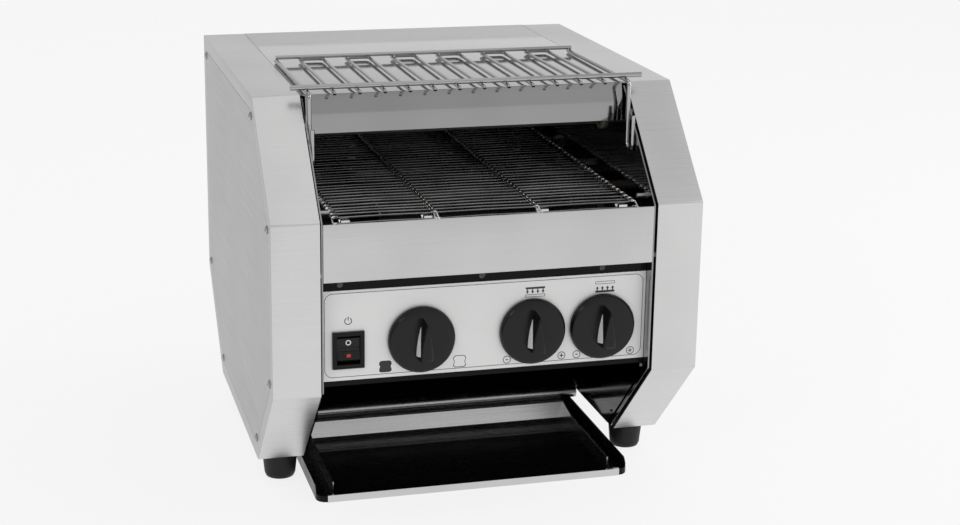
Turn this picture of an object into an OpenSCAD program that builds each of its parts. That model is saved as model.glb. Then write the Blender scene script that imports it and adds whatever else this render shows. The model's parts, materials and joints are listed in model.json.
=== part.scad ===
// Conveyor toaster: bread rides a wire belt back between two banks of heaters,
// drops at the rear and slides forward into the tray under the control panel.
// Working frame: X across, Y back from the front face of the casings,
// Z up from the underside of the casings. placed() moves it to the part's own frame.

/* [Casing] */
// Overall width over the two casings
case_w = 368; // [340:1:420]
// Height of the casings, without feet
case_h = 323; // [300:1:360]
// Depth of the casings
case_d = 404; // [390:1:440]
// Size of the 45 degree corners of the side outline
chamfer = 88; // [80:1:94]
// Width of each casing, seen from the front
band_w = 40; // [36:1:44]
// Sheet steel thickness
sheet = 1.2; // [0.8:0.1:1.6]
// Bend radius of the casing sheet
bend_r = 2.5; // [1.5:0.1:4]
// Width of the flange round each side panel
flange_w = 13; // [10:0.5:16]
// Running gap between neighbouring sheets
seam = 0.3; // [0.2:0.05:0.5]

/* [Inner walls] */
// Gap between an inner wall and its casing
wall_gap = 1.4; // [1:0.1:4]

/* [Front panels] */
// Set-back of the upper front panel
upper_y = 2; // [1:0.1:4]
// Lower edge of the upper front panel
upper_bottom = 184; // [178:1:188]
// Upper edge of the upper front panel
upper_top = 233; // [229:0.5:234]
// Set-back of the control panel
panel_y = 14.5; // [12:0.5:18]
// Lower edge of the control panel
panel_bottom = 95; // [92:1:97]
// Height of the control panel
panel_h = 78; // [74:1:82]
// Thickness of the printed label
label_t = 0.3; // [0.2:0.05:0.5]
// Depth of the control box
box_depth = 154; // [140:1:165]

/* [Controls] */
// Diameter of a knob
knob_d = 57.5; // [50:0.5:59]
// Thickness of a knob's disc
knob_disc = 6; // [5:0.5:8]
// Height of a knob's grip above its disc
grip_h = 18; // [14:0.5:20]
// Width of a knob's grip
grip_w = 12.5; // [11:0.5:16]
// Length of a knob's grip
grip_len = 33.5; // [30:0.5:36]
// Distance of the grip's lower end below the knob's middle
grip_low = 13.5; // [12:0.5:16]
// Height of the knob centres
knob_z = 127; // [125:0.5:130]
// Distance of the speed knob from the switch
speed_step = 62; // [58:0.5:66]
// Distance between the two heat knobs
heat_step = 62; // [60:0.5:66]
// Distance of the lower heat knob from the end of the control panel
heat_edge = 39.1; // [35:0.1:42]
// Diameter of a control spindle
spindle_d = 6; // [5:0.5:8]
// Width of the switch frame
switch_w = 27; // [25:0.5:30]
// Height of the switch frame
switch_h = 32; // [30:0.5:36]
// Distance of the switch from the end of the control panel
switch_edge = 22.6; // [20:0.1:25]
// Tilt of the rocker each way
rocker_tilt = 8; // [6:0.5:10]

/* [Belt] */
// Height of the belt shafts
shaft_z = 217; // [212:0.5:218]
// Place of the front belt shaft
front_shaft_y = 22; // [21:0.5:30]
// Distance between the belt shafts
shaft_span = 318; // [290:1:322]
// Diameter of the belt shafts
shaft_d = 8; // [6:0.5:10]
// Radius of the belt's rods round a shaft
belt_r = 16; // [14:0.5:16]
// Diameter of a belt rod
rod_d = 1.8; // [1.4:0.1:2.4]
// Wanted distance between belt rods
rod_pitch = 9.6; // [8:0.1:14]
// Gap between the belt's edge and an inner wall
belt_side_gap = 9.6; // [8:0.2:14]
// Gap between the belt and what turns inside it
belt_gap = 0.4; // [0.3:0.05:0.6]

/* [Heating] */
// Diameter of a heating tube
heater_d = 8; // [6.5:0.5:9]
// Height of the upper heating tubes
upper_heater_z = 279; // [270:1:282]
// Distance between heating tubes
heater_pitch = 62; // [50:1:66]
// Place of the first heating tube
heater_y = 140; // [130:1:150]

/* [Drive] */
// Place of the motor shaft, back from the front
motor_y = 80; // [70:1:90]
// Height of the motor shaft
motor_z = 138; // [132:1:142]
// Diameter of the motor
motor_d = 48; // [40:1:54]
// Chain pitch
chain_pitch = 6.35; // [5:0.05:6.5]
// Teeth on the motor sprocket
motor_teeth = 10; // [9:1:11]
// Teeth on the belt shaft sprocket
shaft_teeth = 15; // [12:1:16]

/* [Toast exit] */
// Slope of the chute in degrees
chute_slope = 27; // [25:0.5:28]
// Radius of the chute's rolled nose
nose_r = 5.75; // [5:0.25:6.5]
// Place of the rolled nose
nose_y = 188.5; // [186:0.5:194]
// Height of the middle of the rolled nose
nose_z = 0.5; // [0:0.25:2]
// Gap between the tray and an inner wall
tray_gap = 0.4; // [0.3:0.1:4]
// Place of the tray's front edge
tray_front = 38; // [34:0.5:46]
// Length of the tray
tray_len = 262; // [240:1:268]
// Height of the tray's side walls
tray_h = 12; // [9:0.5:13]
// Thickness of the tray's sheet
tray_t = 1; // [0.8:0.1:1.2]
// Clearance under the tray
tray_clear = 0.2; // [0.1:0.05:0.5]
// Gap between the toast slide and the tray's side
slide_gap = 15.5; // [12:0.5:20]
// Distance from the nose's middle forward to the face of the toast slide
slide_set = 11; // [9:0.5:16]

/* [Bread rack] */
// Reach of the thick front wire past the inner edge of a casing
rack_over = 9.5; // [4:0.5:14]
// Diameter of the side wires and of the rear wire
rack_side_d = 3.6; // [3:0.1:4]
// Diameter of the thick front wire
rack_front_d = 4.4; // [4:0.1:5]
// Diameter of the thin wires
rack_wire_d = 3; // [2.4:0.1:3.4]
// Number of wire loops
rack_loops = 6; // [4:1:7]
// Place of the rear wire
rack_rear = 236; // [210:1:260]
// Place of the front wire
rack_front = 78; // [76:1:84]
// Depth of the hooks below the rack
hook_drop = 58; // [45:1:62]

/* [Feet] */
// Height of the feet
foot_h = 24; // [20:1:30]
// Radius of a foot at its top
foot_top_r = 15.7; // [13:0.1:17]
// Radius of a foot at its bottom
foot_bottom_r = 13.7; // [11:0.1:15]
// Distance of the feet from the side of the casing
foot_edge = 22; // [19:0.5:24]
// Distance of a foot from the end of the flat bottom
foot_inset = 19; // [18:0.5:30]

/* [Hidden] */
$fn = 48;
k = tan(22.5);
half_w = case_w / 2;
wall_inset = 2 * sheet + seam;
inner_x = half_w - band_w;
wall_out = inner_x - wall_gap;
wall_in = wall_out - sheet;
panel_half = wall_in - seam;
foot_x = half_w - foot_edge;
switch_x = switch_edge - panel_half;
speed_x = switch_x + speed_step;
lower_heat_x = panel_half - heat_edge;
upper_heat_x = lower_heat_x - heat_step;
belt_half_w = wall_in - belt_side_gap;
tray_half_w = wall_in - tray_gap;
slide_half_w = tray_half_w - slide_gap;
rack_half_w = panel_half - rack_side_d / 2;
rack_front_half = inner_x + rack_over;
rack_pitch = 2 * rack_half_w / (2 * rack_loops + 1);
box_y = panel_y + sheet;
box_bottom = panel_bottom - 5;
box_back = box_y + box_depth;
panel_top = panel_bottom + panel_h;
label_y = panel_y - label_t;
knob_gap = 0.8;
knob_back = label_y - knob_gap;
knob_face = knob_back - knob_disc;
knob_front = knob_face - grip_h;
gland_out = 12;
mid_y = (knob_front + case_d + gland_out) / 2;
rear_shaft_y = front_shaft_y + shaft_span;
loop_len = 2 * shaft_span + 2 * PI * belt_r;
rod_count = round(loop_len / rod_pitch);
belt_inner = belt_r - rod_d / 2;
motor_r = motor_teeth * chain_pitch / (2 * PI);
chain_r = shaft_teeth * chain_pitch / (2 * PI);
chain_t = 3;
chain_w = 3.2;
chain_x = inner_x + 8;
tray_bottom = tray_clear - foot_h;
tray_floor = tray_bottom + tray_t;
tray_back = tray_front + tray_len;
chute_start = [nose_y, nose_z + nose_r];
chute_len = case_d - 20 - nose_y;
chute_end = chute_start + chute_len * [1, tan(chute_slope)];
hole_gap = 0.2;
screw_d = 3;
screw_inset = flange_w + 5;
cover_end = inner_x - 4.5;
hem_z = case_h - 33.7;
crease_z = case_h - 15.3;
lower_heater_z = shaft_z;
bearing_r = 8;
spacer_inset = 7;
screw_r = screw_d / 2 - hole_gap / 2;
side_head = 1.9;
rear_screw_x = inner_x - 10;
gland_x = half_w - band_w / 2;
gland_z = 130;
gland_r = 8;
control_x = [speed_x, upper_heat_x, lower_heat_x];
control_w = 28;
control_depth = 14;
regulator_w = 36;
regulator_depth = 26;
bush_r = 5;
nut_h = 2.4;
spindle_in = 14;
strip_screws = [16.1 - panel_half, -4, lower_heat_x];
strip_z = (panel_top + upper_bottom) / 2 - 0.5;
switch_z = 121.7;
rocker_y = label_y + 6;
rocker_w = switch_w - 8;
rocker_r = switch_h / 2 - 4;
rocker_face = 6.5;
rocker_gap = 0.4;
pivot_r = 1.4;
edge_sprocket_x = belt_half_w - 12.3;
joint_sprocket_x = belt_half_w / 3 + 6;
sprocket_x = [-edge_sprocket_x, -joint_sprocket_x, joint_sprocket_x, edge_sprocket_x];
rail_x = (edge_sprocket_x + joint_sprocket_x) / 2;
stud_z = shaft_z + belt_r + 5;
stud_r = 2;
insulator_r = 7;
reflector_z = shaft_z - belt_inner + 3.5;
upper_reflector_z = upper_heater_z + 17;
gearbox = [22, 56, 52];
motor_len = 48;
boss_len = 6;
boss_r = 9;
shaft_in = 14.5;
terminals = [60, 18, 16];
guide_top = box_bottom - seam;
guide_head = 2.2;
slide_top = nose_z - nose_r - seam;
rack_slope = 0.6;
rack_top = seam + rack_side_d;
weld_gap = 0.02;
hook_r = 6.5;
bend = 4;

// ---- Frames and outlines ----

// Moves the working frame to the part's own: middle of the depth, underside of the feet.
module placed() {
  translate([0, -mid_y, foot_h]) children();
}

// Draws an outline given in Y and Z, from x0 to x1.
module across(x0, x1) {
  translate([x0, 0, 0]) rotate([90, 0, 90]) linear_extrude(x1 - x0) children();
}

// Cylinder along X.
module bar(x0, x1, y, z, r) {
  translate([x0, y, z]) rotate([0, 90, 0]) cylinder(h = x1 - x0, r = r);
}

// Cylinder along Y.
module pin(x, y0, y1, z, r) {
  translate([x, y0, z]) rotate([-90, 0, 0]) cylinder(h = y1 - y0, r = r);
}

// The same on the left and on the right.
module both_sides() {
  children();
  mirror([1, 0, 0]) children();
}

function unit(v) = v / norm(v);

// Rounds the corner b between a and c.
function corner_arc(a, b, c, r, n) =
  let (u = unit(a - b), w = unit(c - b), half = acos(u * w) / 2,
       centre = b + unit(u + w) * r / sin(half),
       s = b + u * r / tan(half) - centre, e = b + w * r / tan(half) - centre,
       a0 = atan2(s.y, s.x), turn = atan2(e.y, e.x) - a0,
       sweep = turn > 180 ? turn - 360 : turn < -180 ? turn + 360 : turn)
  [for (i = [0:n]) centre + r * [cos(a0 + sweep * i / n), sin(a0 + sweep * i / n)]];

function rounded(p, r, n = 4) =
  [for (i = [0:len(p) - 1])
    each corner_arc(p[(i + len(p) - 1) % len(p)], p[i], p[(i + 1) % len(p)], r, n)];

// Side outline of the machine, drawn in by t: upright, 45 degree and flat edges.
function outline(t) =
  let (c = chamfer + k * t)
  [[t, c], [t, case_h - c], [c, case_h - t], [case_d - t, case_h - t],
   [case_d - t, c], [case_d - c, t], [c, t]];

function side_of(a, b) =
  let (d = unit(b - a))
  [-d.y, d.x];

function mitre(p, i, t) =
  i == 0 ? p[0] + t * side_of(p[0], p[1])
  : i == len(p) - 1 ? p[i] + t * side_of(p[i - 1], p[i])
  : let (m = side_of(p[i - 1], p[i]), n = side_of(p[i], p[i + 1]))
    p[i] + t * (m + n) / (1 + m * n);

// Outline of a bent sheet: the path p and a second line t to its left.
function ribbon(p, t) = concat(p, [for (i = [len(p) - 1:-1:0]) mitre(p, i, t)]);

module ring(outer, inner) {
  difference() {
    polygon(rounded(outline(outer), bend_r));
    polygon(rounded(outline(inner), bend_r));
  }
}

// Domed screw along -Y at [x, y, z], with its shank going back.
module screw_y(x, y, z, head_r = 3, head_h = 1.6, shank = 5) {
  translate([x, y, z]) rotate([90, 0, 0]) {
    screw_head(head_r, head_h);
    translate([0, 0, -shank]) cylinder(h = shank + 0.1, r = screw_r);
  }
}

// Domed head standing on z = 0, with a cross recess.
module screw_head(r, h) {
  difference() {
    rotate_extrude() intersection() {
      translate([0, h - r * 1.6]) circle(r = r * 1.6);
      square([r, h]);
    }
    for (a = [0, 90]) rotate(a) translate([-r * 0.55, -r * 0.11, h * 0.45]) cube([r * 1.1, r * 0.22, h]);
  }
}

// ---- Casings and walls ----

function side_points() = [for (i = [0:6]) outline(screw_inset)[i]];

function between(a, b, part) = a + (b - a) * part;

function spacer_points() =
  let (o = outline(spacer_inset))
  [between(o[0], o[1], 0.7), between(o[1], o[2], 0.8), between(o[2], o[3], 0.25),
   between(o[3], o[4], 0.35), between(o[3], o[4], 0.85), between(o[5], o[6], 0.5)];

// One casing, on the left: front, top, back and bottom band with its flanges.
module casing() {
  difference() {
    union() {
      across(-half_w, -inner_x) ring(0, sheet);
      across(-half_w, -half_w + sheet) ring(0, flange_w);
      across(-half_w, -half_w + 2 * sheet) ring(flange_w - 2, flange_w);
      across(-half_w + sheet, -half_w + 2 * sheet) ring(flange_w - 2, flange_w + 9);
      across(-inner_x - sheet, -inner_x) ring(0, 10);
    }
    for (p = side_points()) bar(-half_w - 1, -half_w + 4, p.x, p.y, screw_d / 2);
    for (p = spacer_points()) bar(-inner_x - 3, -inner_x + 1, p.x, p.y, 2);
    for (y = foot_places()) translate([-foot_x, y, -1]) cylinder(h = 4, d = 5);
  }
}

module left_casing() placed() color("#b9bbbd") difference() {
  casing();
  pin(-gland_x, case_d - 3, case_d + 1, gland_z, gland_r);
}

module right_casing() placed() color("#b9bbbd") mirror([1, 0, 0]) casing();

module side_panel() {
  difference() {
    across(-half_w, -half_w + sheet) polygon(rounded(outline(flange_w + seam), bend_r));
    for (p = side_points()) bar(-half_w - 1, -half_w + 3, p.x, p.y, screw_d / 2);
  }
}

module left_side_panel() placed() color("#a3a5a7") side_panel();

module right_side_panel() placed() color("#a3a5a7") mirror([1, 0, 0]) side_panel();

module side_screws() placed() color("#8c8e90") both_sides()
  for (p = side_points()) translate([-half_w, p.x, p.y]) rotate([0, -90, 0]) {
    screw_head(3.6, side_head);
    translate([0, 0, -5]) cylinder(h = 5.1, r = screw_r);
  }

// One inner wall, on the left: carries the shafts, heaters, reflectors and chute.
module inner_wall() {
  difference() {
    across(-wall_out, -wall_in) polygon(rounded(outline(wall_inset), bend_r));
    for (p = spacer_points()) bar(-wall_out - 1, -wall_in + 1, p.x, p.y, 2);
    for (y = [front_shaft_y, rear_shaft_y]) bar(-wall_out - 1, -wall_in + 1, y, shaft_z, bearing_r);
    for (y = heater_places(), z = [upper_heater_z, lower_heater_z])
      bar(-wall_out - 1, -wall_in + 1, y, z, insulator_r);
    for (y = [front_shaft_y, rear_shaft_y]) bar(-wall_out - 1, -wall_in + 1, y, stud_z, stud_r);
    for (p = guide_points()) bar(-wall_out - 1, -wall_in + 1, p.x, p.y, screw_d / 2);
  }
}

module left_inner_wall() placed() color("#6f7173") difference() {
  inner_wall();
  across(-wall_out - 1, -wall_in + 1) translate([box_y + 30, box_bottom + 20]) square([24, 40]);
}

module right_inner_wall() placed() color("#6f7173") difference() {
  mirror([1, 0, 0]) inner_wall();
  bar(wall_in - 1, wall_out + 1, motor_y, motor_z, bearing_r);
}

// Rivets with their spacer sleeves between each wall and its casing, flush with the wall inside.
module wall_spacers() placed() color("#8c8e90") both_sides() for (p = spacer_points()) {
  bar(-inner_x, -wall_out, p.x, p.y, 3.2);
  bar(-inner_x - sheet - 1, -wall_in, p.x, p.y, 2 - hole_gap / 2);
  bar(-inner_x - sheet - 1.2, -inner_x - sheet, p.x, p.y, 3.2);
}

// ---- Feet ----

function foot_places() = [chamfer + foot_inset, case_d - chamfer - foot_inset];

module each_foot() {
  both_sides() for (y = foot_places()) translate([-foot_x, y, 0]) children();
}

module feet() placed() color("#2b2c2e") each_foot() rotate_extrude() difference() {
  polygon([[0, -foot_h], [foot_bottom_r - 4, -foot_h], [foot_bottom_r - 1.2, 1.2 - foot_h],
           [foot_bottom_r, 4 - foot_h], [foot_top_r, 0], [0, 0]]);
  translate([-1, -foot_h - 1]) square([6.5, foot_h * 0.5 + 1]);
  translate([-1, -foot_h]) square([1 + 2.6, foot_h + 1]);
}

module foot_screws() placed() color("#8c8e90") each_foot() {
  translate([0, 0, -foot_h * 0.5 - 3]) cylinder(h = 3, r = 4.6);
  translate([0, 0, -foot_h * 0.5 - 0.1]) cylinder(h = foot_h * 0.5 + 7, d = 5 - hole_gap);
  translate([0, 0, sheet]) cylinder(h = 3.5, r = 4.4, $fn = 6);
}

// ---- Covers ----

function hood_front() =
  [[chamfer, case_h], [chamfer - 3.5, crease_z], [chamfer - 3.5, hem_z], [chamfer + 4.5, hem_z]];

module top_cover() placed() color("#b9bbbd") {
  across(seam - inner_x, inner_x - seam) translate([chamfer, case_h - sheet])
    square([case_d - chamfer, sheet]);
  across(-cover_end, cover_end) polygon(ribbon(concat([[chamfer + 8, case_h]], hood_front()), sheet));
  across(seam - inner_x, inner_x - seam) translate([case_d - 2 * sheet, case_h - 18])
    square([sheet, 17]);
}

module rear_panel() placed() color("#a3a5a7") difference() {
  across(seam - inner_x, inner_x - seam) translate([case_d - sheet, chamfer + 1])
    square([sheet, case_h - sheet - chamfer - 1]);
  for (row = [0:4], column = [-2:2]) translate([column * 48 - 19, case_d - 3, 215 + row * 12])
    cube([38, 5, 4]);
  for (x = [-rear_screw_x, 0, rear_screw_x]) pin(x, case_d - 3, case_d + 1, case_h - 12, screw_d / 2);
}

module rear_lower_panel() placed() color("#a3a5a7") across(seam - inner_x, inner_x - seam)
  polygon(ribbon([[case_d - chamfer, 0], [case_d, chamfer]], sheet));

module rear_screws() placed() color("#8c8e90")
  for (x = [-rear_screw_x, 0, rear_screw_x]) translate([x, case_d, case_h - 12]) rotate([-90, 0, 0])
    screw_head(3, 1.6);

module cord_gland() placed() color("#202122") difference() {
  union() {
    pin(-gland_x, case_d - 14, case_d + 4, gland_z, gland_r - hole_gap);
    translate([-gland_x, case_d, gland_z]) rotate([-90, 0, 0]) cylinder(h = 5, r = 12.5, $fn = 6);
    translate([-gland_x, case_d + 5, gland_z]) rotate([-90, 0, 0])
      cylinder(h = gland_out - 5, r1 = 10.5, r2 = 8.5);
    translate([-gland_x, case_d - 6, gland_z]) rotate([-90, 0, 0])
      cylinder(h = 6 - sheet, r = 12.5, $fn = 6);
  }
  pin(-gland_x, case_d - 20, case_d + 20, gland_z, 4);
}

// ---- Front panels and controls ----

module upper_front_panel() placed() color("#c9cbcc") across(-panel_half, panel_half)
  polygon(ribbon([[upper_y, upper_top], [upper_y, upper_bottom], [box_y + 15, upper_bottom]], sheet));

module panel_holes() {
  for (x = control_x) pin(x, label_y - 1, box_y + 3, knob_z, bush_r + hole_gap);
  translate([switch_x - switch_w / 2 + 2, label_y - 1, switch_z - switch_h / 2 + 2])
    cube([switch_w - 4, 6, switch_h - 4]);
}

module control_box() placed() color("#1d1e1f") difference() {
  across(-panel_half, panel_half) difference() {
    translate([box_y, box_bottom]) square([box_depth, upper_bottom - box_bottom]);
    translate([box_y + sheet, box_bottom + sheet])
      square([box_depth - 2 * sheet, upper_bottom - box_bottom - 2 * sheet]);
  }
  panel_holes();
  for (x = strip_screws) pin(x, box_y - 1, box_y + 3, strip_z, screw_d / 2);
  for (x = [-100:14:40]) translate([x, box_back - 50, box_bottom - 1]) cube([6, 30, 4]);
}

module control_panel() placed() color("#d4d6d7") difference() {
  across(-panel_half, panel_half) translate([panel_y, panel_bottom]) square([sheet, panel_h]);
  panel_holes();
}

module control_label() placed() color("#e2e3e3") difference() {
  translate([0, panel_y, 0]) rotate([90, 0, 0]) linear_extrude(label_t)
    polygon(rounded([[-panel_half + 2, panel_bottom + 2.5], [panel_half - 2, panel_bottom + 2.5],
                     [panel_half - 2, panel_top - 1.5], [-panel_half + 2, panel_top - 1.5]], 4));
  panel_holes();
}

module panel_screws() placed() color("#9a9c9e")
  for (x = strip_screws) screw_y(x, box_y, strip_z, head_r = 2.6, head_h = 1.2, shank = 4);

// Switch housing with its frame; the rocker turns on two pins inside it.
module switch_body() placed() color("#1f2021") translate([switch_x, 0, switch_z]) difference() {
  union() {
    translate([-switch_w / 2, label_y - 2.2, -switch_h / 2]) cube([switch_w, 2.2, switch_h]);
    translate([-switch_w / 2 + 2.3, label_y - 1, -switch_h / 2 + 2.3])
      cube([switch_w - 4.6, 31, switch_h - 4.6]);
  }
  bar(-rocker_w / 2 - rocker_gap, rocker_w / 2 + rocker_gap, rocker_y, 0, rocker_r + rocker_gap);
  translate([-rocker_w / 2 - rocker_gap, label_y - 4, -rocker_r - rocker_gap])
    cube([rocker_w + 2 * rocker_gap, 4 + rocker_y - label_y, 2 * (rocker_r + rocker_gap)]);
  bar(-rocker_w / 2 - 1.1, rocker_w / 2 + 1.1, rocker_y, 0, pivot_r + 0.05);
}

// Rocker with two faces that meet in a shallow valley; its upper half is pressed in at rest.
module rocker() placed() color("#191a1b") translate([switch_x, rocker_y, switch_z])
  rotate([-rocker_tilt, 0, 0]) {
    difference() {
      bar(-rocker_w / 2, rocker_w / 2, 0, 0, rocker_r);
      for (s = [0, 1]) mirror([0, 0, s]) rotate([rocker_tilt, 0, 0])
        translate([-rocker_w, -30 - rocker_face, -1]) cube([2 * rocker_w, 30, 30]);
      translate([-rocker_w, 4, -20]) cube([2 * rocker_w, 20, 40]);
    }
    bar(-rocker_w / 2 - 1, rocker_w / 2 + 1, 0, 0, pivot_r);
  }

// Knob with its back at y = 0 and its grip towards -Y, pointing up.
module knob() {
  lens_r = (grip_w / 2 * grip_w / 2 + grip_len * grip_len) / grip_w;
  foot_z = -grip_low;
  difference() {
    union() {
      rotate([90, 0, 0]) rotate_extrude($fn = 96) polygon(
        [[0, 0], [knob_d / 2 - 0.6, 0], [knob_d / 2, 0.6], [knob_d / 2 - 0.4, knob_disc - 1.6],
         [knob_d / 2 - 1.8, knob_disc - 0.3], [knob_d / 2 - 4, knob_disc], [0, knob_disc]]);
      translate([0, -knob_disc + 0.1, 0]) rotate([90, 0, 0]) linear_extrude(grip_h + 0.1)
        intersection() {
          translate([grip_w / 2 - lens_r, foot_z]) circle(r = lens_r, $fn = 180);
          translate([lens_r - grip_w / 2, foot_z]) circle(r = lens_r, $fn = 180);
          translate([-grip_w, foot_z]) square([2 * grip_w, 2 * grip_len]);
        }
    }
    rotate([90, 0, 0]) translate([0, 0, -0.1]) cylinder(h = 3.9, r = knob_d / 2 - 5);
    rotate([90, 0, 0]) translate([0, 0, -0.1]) cylinder(h = spindle_in + 0.3, d = spindle_d + 0.04);
  }
}

module knob_at(x) {
  placed() color("#222325") translate([x, knob_back, knob_z]) knob();
}

module speed_knob() knob_at(speed_x);
module upper_heat_knob() knob_at(upper_heat_x);
module lower_heat_knob() knob_at(lower_heat_x);

// Spindle from the knob's bore into the control behind the panel.
module spindle_at(x) {
  placed() color("#c8c9ca") pin(x, knob_back - spindle_in, box_y + 10, knob_z, spindle_d / 2);
}

module speed_spindle() spindle_at(speed_x);
module upper_heat_spindle() spindle_at(upper_heat_x);
module lower_heat_spindle() spindle_at(lower_heat_x);

// Control behind the box front: body, threaded bush through the panels, bore for the spindle.
module control_at(x, w, depth) {
  placed() color("#34383c") difference() {
    union() {
      translate([x - w / 2, box_y + sheet, knob_z - w / 2]) cube([w, depth, w]);
      pin(x, label_y - nut_h - 0.4, box_y + sheet + 1, knob_z, bush_r);
    }
    pin(x, label_y - nut_h - 1, box_y + 10.2, knob_z, spindle_d / 2 + 0.03);
  }
}

module speed_control() control_at(speed_x, control_w, control_depth);
module upper_heat_regulator() control_at(upper_heat_x, regulator_w, regulator_depth);
module lower_heat_regulator() control_at(lower_heat_x, regulator_w, regulator_depth);

module control_nuts() placed() color("#b0a060") for (x = control_x) difference() {
  translate([x, label_y, knob_z]) rotate([90, 0, 0]) cylinder(h = nut_h, r = 8, $fn = 6);
  pin(x, label_y - 5, label_y + 1, knob_z, bush_r + 0.05);
}

// ---- Belt and shafts ----

module front_shaft() placed() color("#c8c9ca")
  bar(-inner_x - 6, chain_x + 8, front_shaft_y, shaft_z, shaft_d / 2);

module rear_shaft() placed() color("#c8c9ca")
  bar(-inner_x - 6, inner_x + 6, rear_shaft_y, shaft_z, shaft_d / 2);

// Toothed wheel along X with n teeth, tips at radius tip.
module toothed(n, tip, depth, x0, x1, bore) {
  difference() {
    across(x0, x1) polygon([for (i = [0:n - 1], q = [[0, 0], [0.3, 0], [0.5, 1], [0.8, 1]])
      (tip - depth * q[1]) * [cos(360 * (i + q[0]) / n), sin(360 * (i + q[0]) / n)]]);
    bar(x0 - 1, x1 + 1, 0, 0, bore);
  }
}

module belt_sprockets(y) {
  placed() color("#d6d7d8") translate([0, y, shaft_z]) for (x = sprocket_x)
    translate([x, 0, 0]) {
      toothed(8, belt_inner - belt_gap, 3, -3.6, 3.6, shaft_d / 2 + 0.02);
    }
}

module front_sprockets() belt_sprockets(front_shaft_y);
module rear_sprockets() belt_sprockets(rear_shaft_y);

// Flanged bushes that the shafts run in.
module shaft_bearings() placed() color("#b08d57") {
  both_sides() for (y = [front_shaft_y, rear_shaft_y]) difference() {
    union() {
      bar(-wall_out - 2, -wall_in + 4, y, shaft_z, bearing_r - 0.05);
      bar(-wall_in, -wall_in + 1.6, y, shaft_z, bearing_r + 2);
    }
    bar(-wall_out - 3, -wall_in + 5, y, shaft_z, shaft_d / 2 + 0.04);
  }
  difference() {
    bar(wall_in, wall_out + 2, motor_y, motor_z, bearing_r - 0.05);
    bar(wall_in - 1, wall_out + 3, motor_y, motor_z, shaft_d / 2 + 0.04);
  }
}

// A point on the belt's loop, s along it from the start of the upper run, as [y, z, heading].
function loop_point(s, r) =
  let (turn = PI * belt_r)
  s < shaft_span ? [front_shaft_y + s, shaft_z + r, 0]
  : s < shaft_span + turn ? let (a = 90 - 180 * (s - shaft_span) / turn)
    [rear_shaft_y + r * cos(a), shaft_z + r * sin(a), a - 90]
  : s < 2 * shaft_span + turn ? [rear_shaft_y - (s - shaft_span - turn), shaft_z - r, 180]
  : let (a = 270 - 180 * (s - 2 * shaft_span - turn) / turn)
    [front_shaft_y + r * cos(a), shaft_z + r * sin(a), a - 90];

module loop_strip(x0, x1, outer, inner) {
  difference() {
    union() {
      across(x0, x1) translate([front_shaft_y, shaft_z - outer]) square([shaft_span, 2 * outer]);
      for (y = [front_shaft_y, rear_shaft_y]) bar(x0, x1, y, shaft_z, outer);
    }
    across(x0 - 1, x1 + 1) translate([front_shaft_y, shaft_z - inner]) square([shaft_span, 2 * inner]);
    for (y = [front_shaft_y, rear_shaft_y]) bar(x0 - 1, x1 + 1, y, shaft_z, inner);
  }
}

// Wire belt: cross rods held by link strips at both edges and at two joints.
module belt() placed() color("#3a3b3d") {
  for (i = [0:rod_count - 1]) {
    p = loop_point(i * loop_len / rod_count, belt_r);
    bar(-belt_half_w, belt_half_w, p.x, p.y, rod_d / 2);
  }
  for (x = [-belt_half_w, -belt_half_w / 3 - 1, belt_half_w / 3 - 1, belt_half_w - 2])
    loop_strip(x, x + 2, belt_r + 0.6, belt_r - 0.6);
}

// Runners under the upper run, standing on the lower reflector.
module belt_rails() placed() color("#8c8e90") both_sides() difference() {
  across(-rail_x, -rail_x + 2)
    translate([front_shaft_y + belt_r + 12, reflector_z + sheet])
      square([shaft_span - 2 * belt_r - 24, shaft_z + belt_inner - belt_gap - reflector_z - sheet]);
  for (y = heater_places()) bar(-rail_x - 1, -rail_x + 3, y, lower_heater_z, heater_d / 2 + 1);
}

// Studs on the inner walls that keep the belt centred.
module belt_guide_studs() placed() color("#c8c9ca") both_sides()
  for (y = [front_shaft_y, rear_shaft_y]) {
    bar(-wall_out - 1.5, -belt_half_w - 0.8, y, stud_z, stud_r - hole_gap / 2);
    bar(-wall_in, -wall_in + 1.4, y, stud_z, stud_r + 1);
  }

// ---- Heating ----

function heater_places() = [for (i = [0:2]) heater_y + i * heater_pitch];

module heater_bank(z) {
  placed() color("#7d6f66") for (y = heater_places())
    bar(-inner_x - 4, inner_x + 4, y, z, heater_d / 2);
}

module upper_heaters() heater_bank(upper_heater_z);
module lower_heaters() heater_bank(lower_heater_z);

module heater_insulators() placed() color("#ece7dc") both_sides()
  for (y = heater_places(), z = [upper_heater_z, lower_heater_z]) difference() {
    union() {
      bar(-wall_out - 2, -wall_in, y, z, insulator_r - 0.05);
      bar(-wall_in, -wall_in + 3, y, z, insulator_r + 1.5);
    }
    bar(-wall_out - 3, -wall_in + 4, y, z, heater_d / 2 + 0.1);
  }

// Reflector over the upper tubes, with its front edge turned down above the cover's hem.
module upper_reflector() placed() color("#8f9193") across(-panel_half, panel_half)
  polygon(ribbon([[chamfer + 14, upper_reflector_z - 5], [chamfer + 18, upper_reflector_z],
                  [rear_shaft_y + 6, upper_reflector_z]], sheet));

module lower_reflector() placed() color("#8f9193") across(-panel_half, panel_half)
  translate([front_shaft_y + belt_r + 6, reflector_z]) square([shaft_span - 2 * belt_r - 12, sheet]);

// ---- Drive ----

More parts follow.
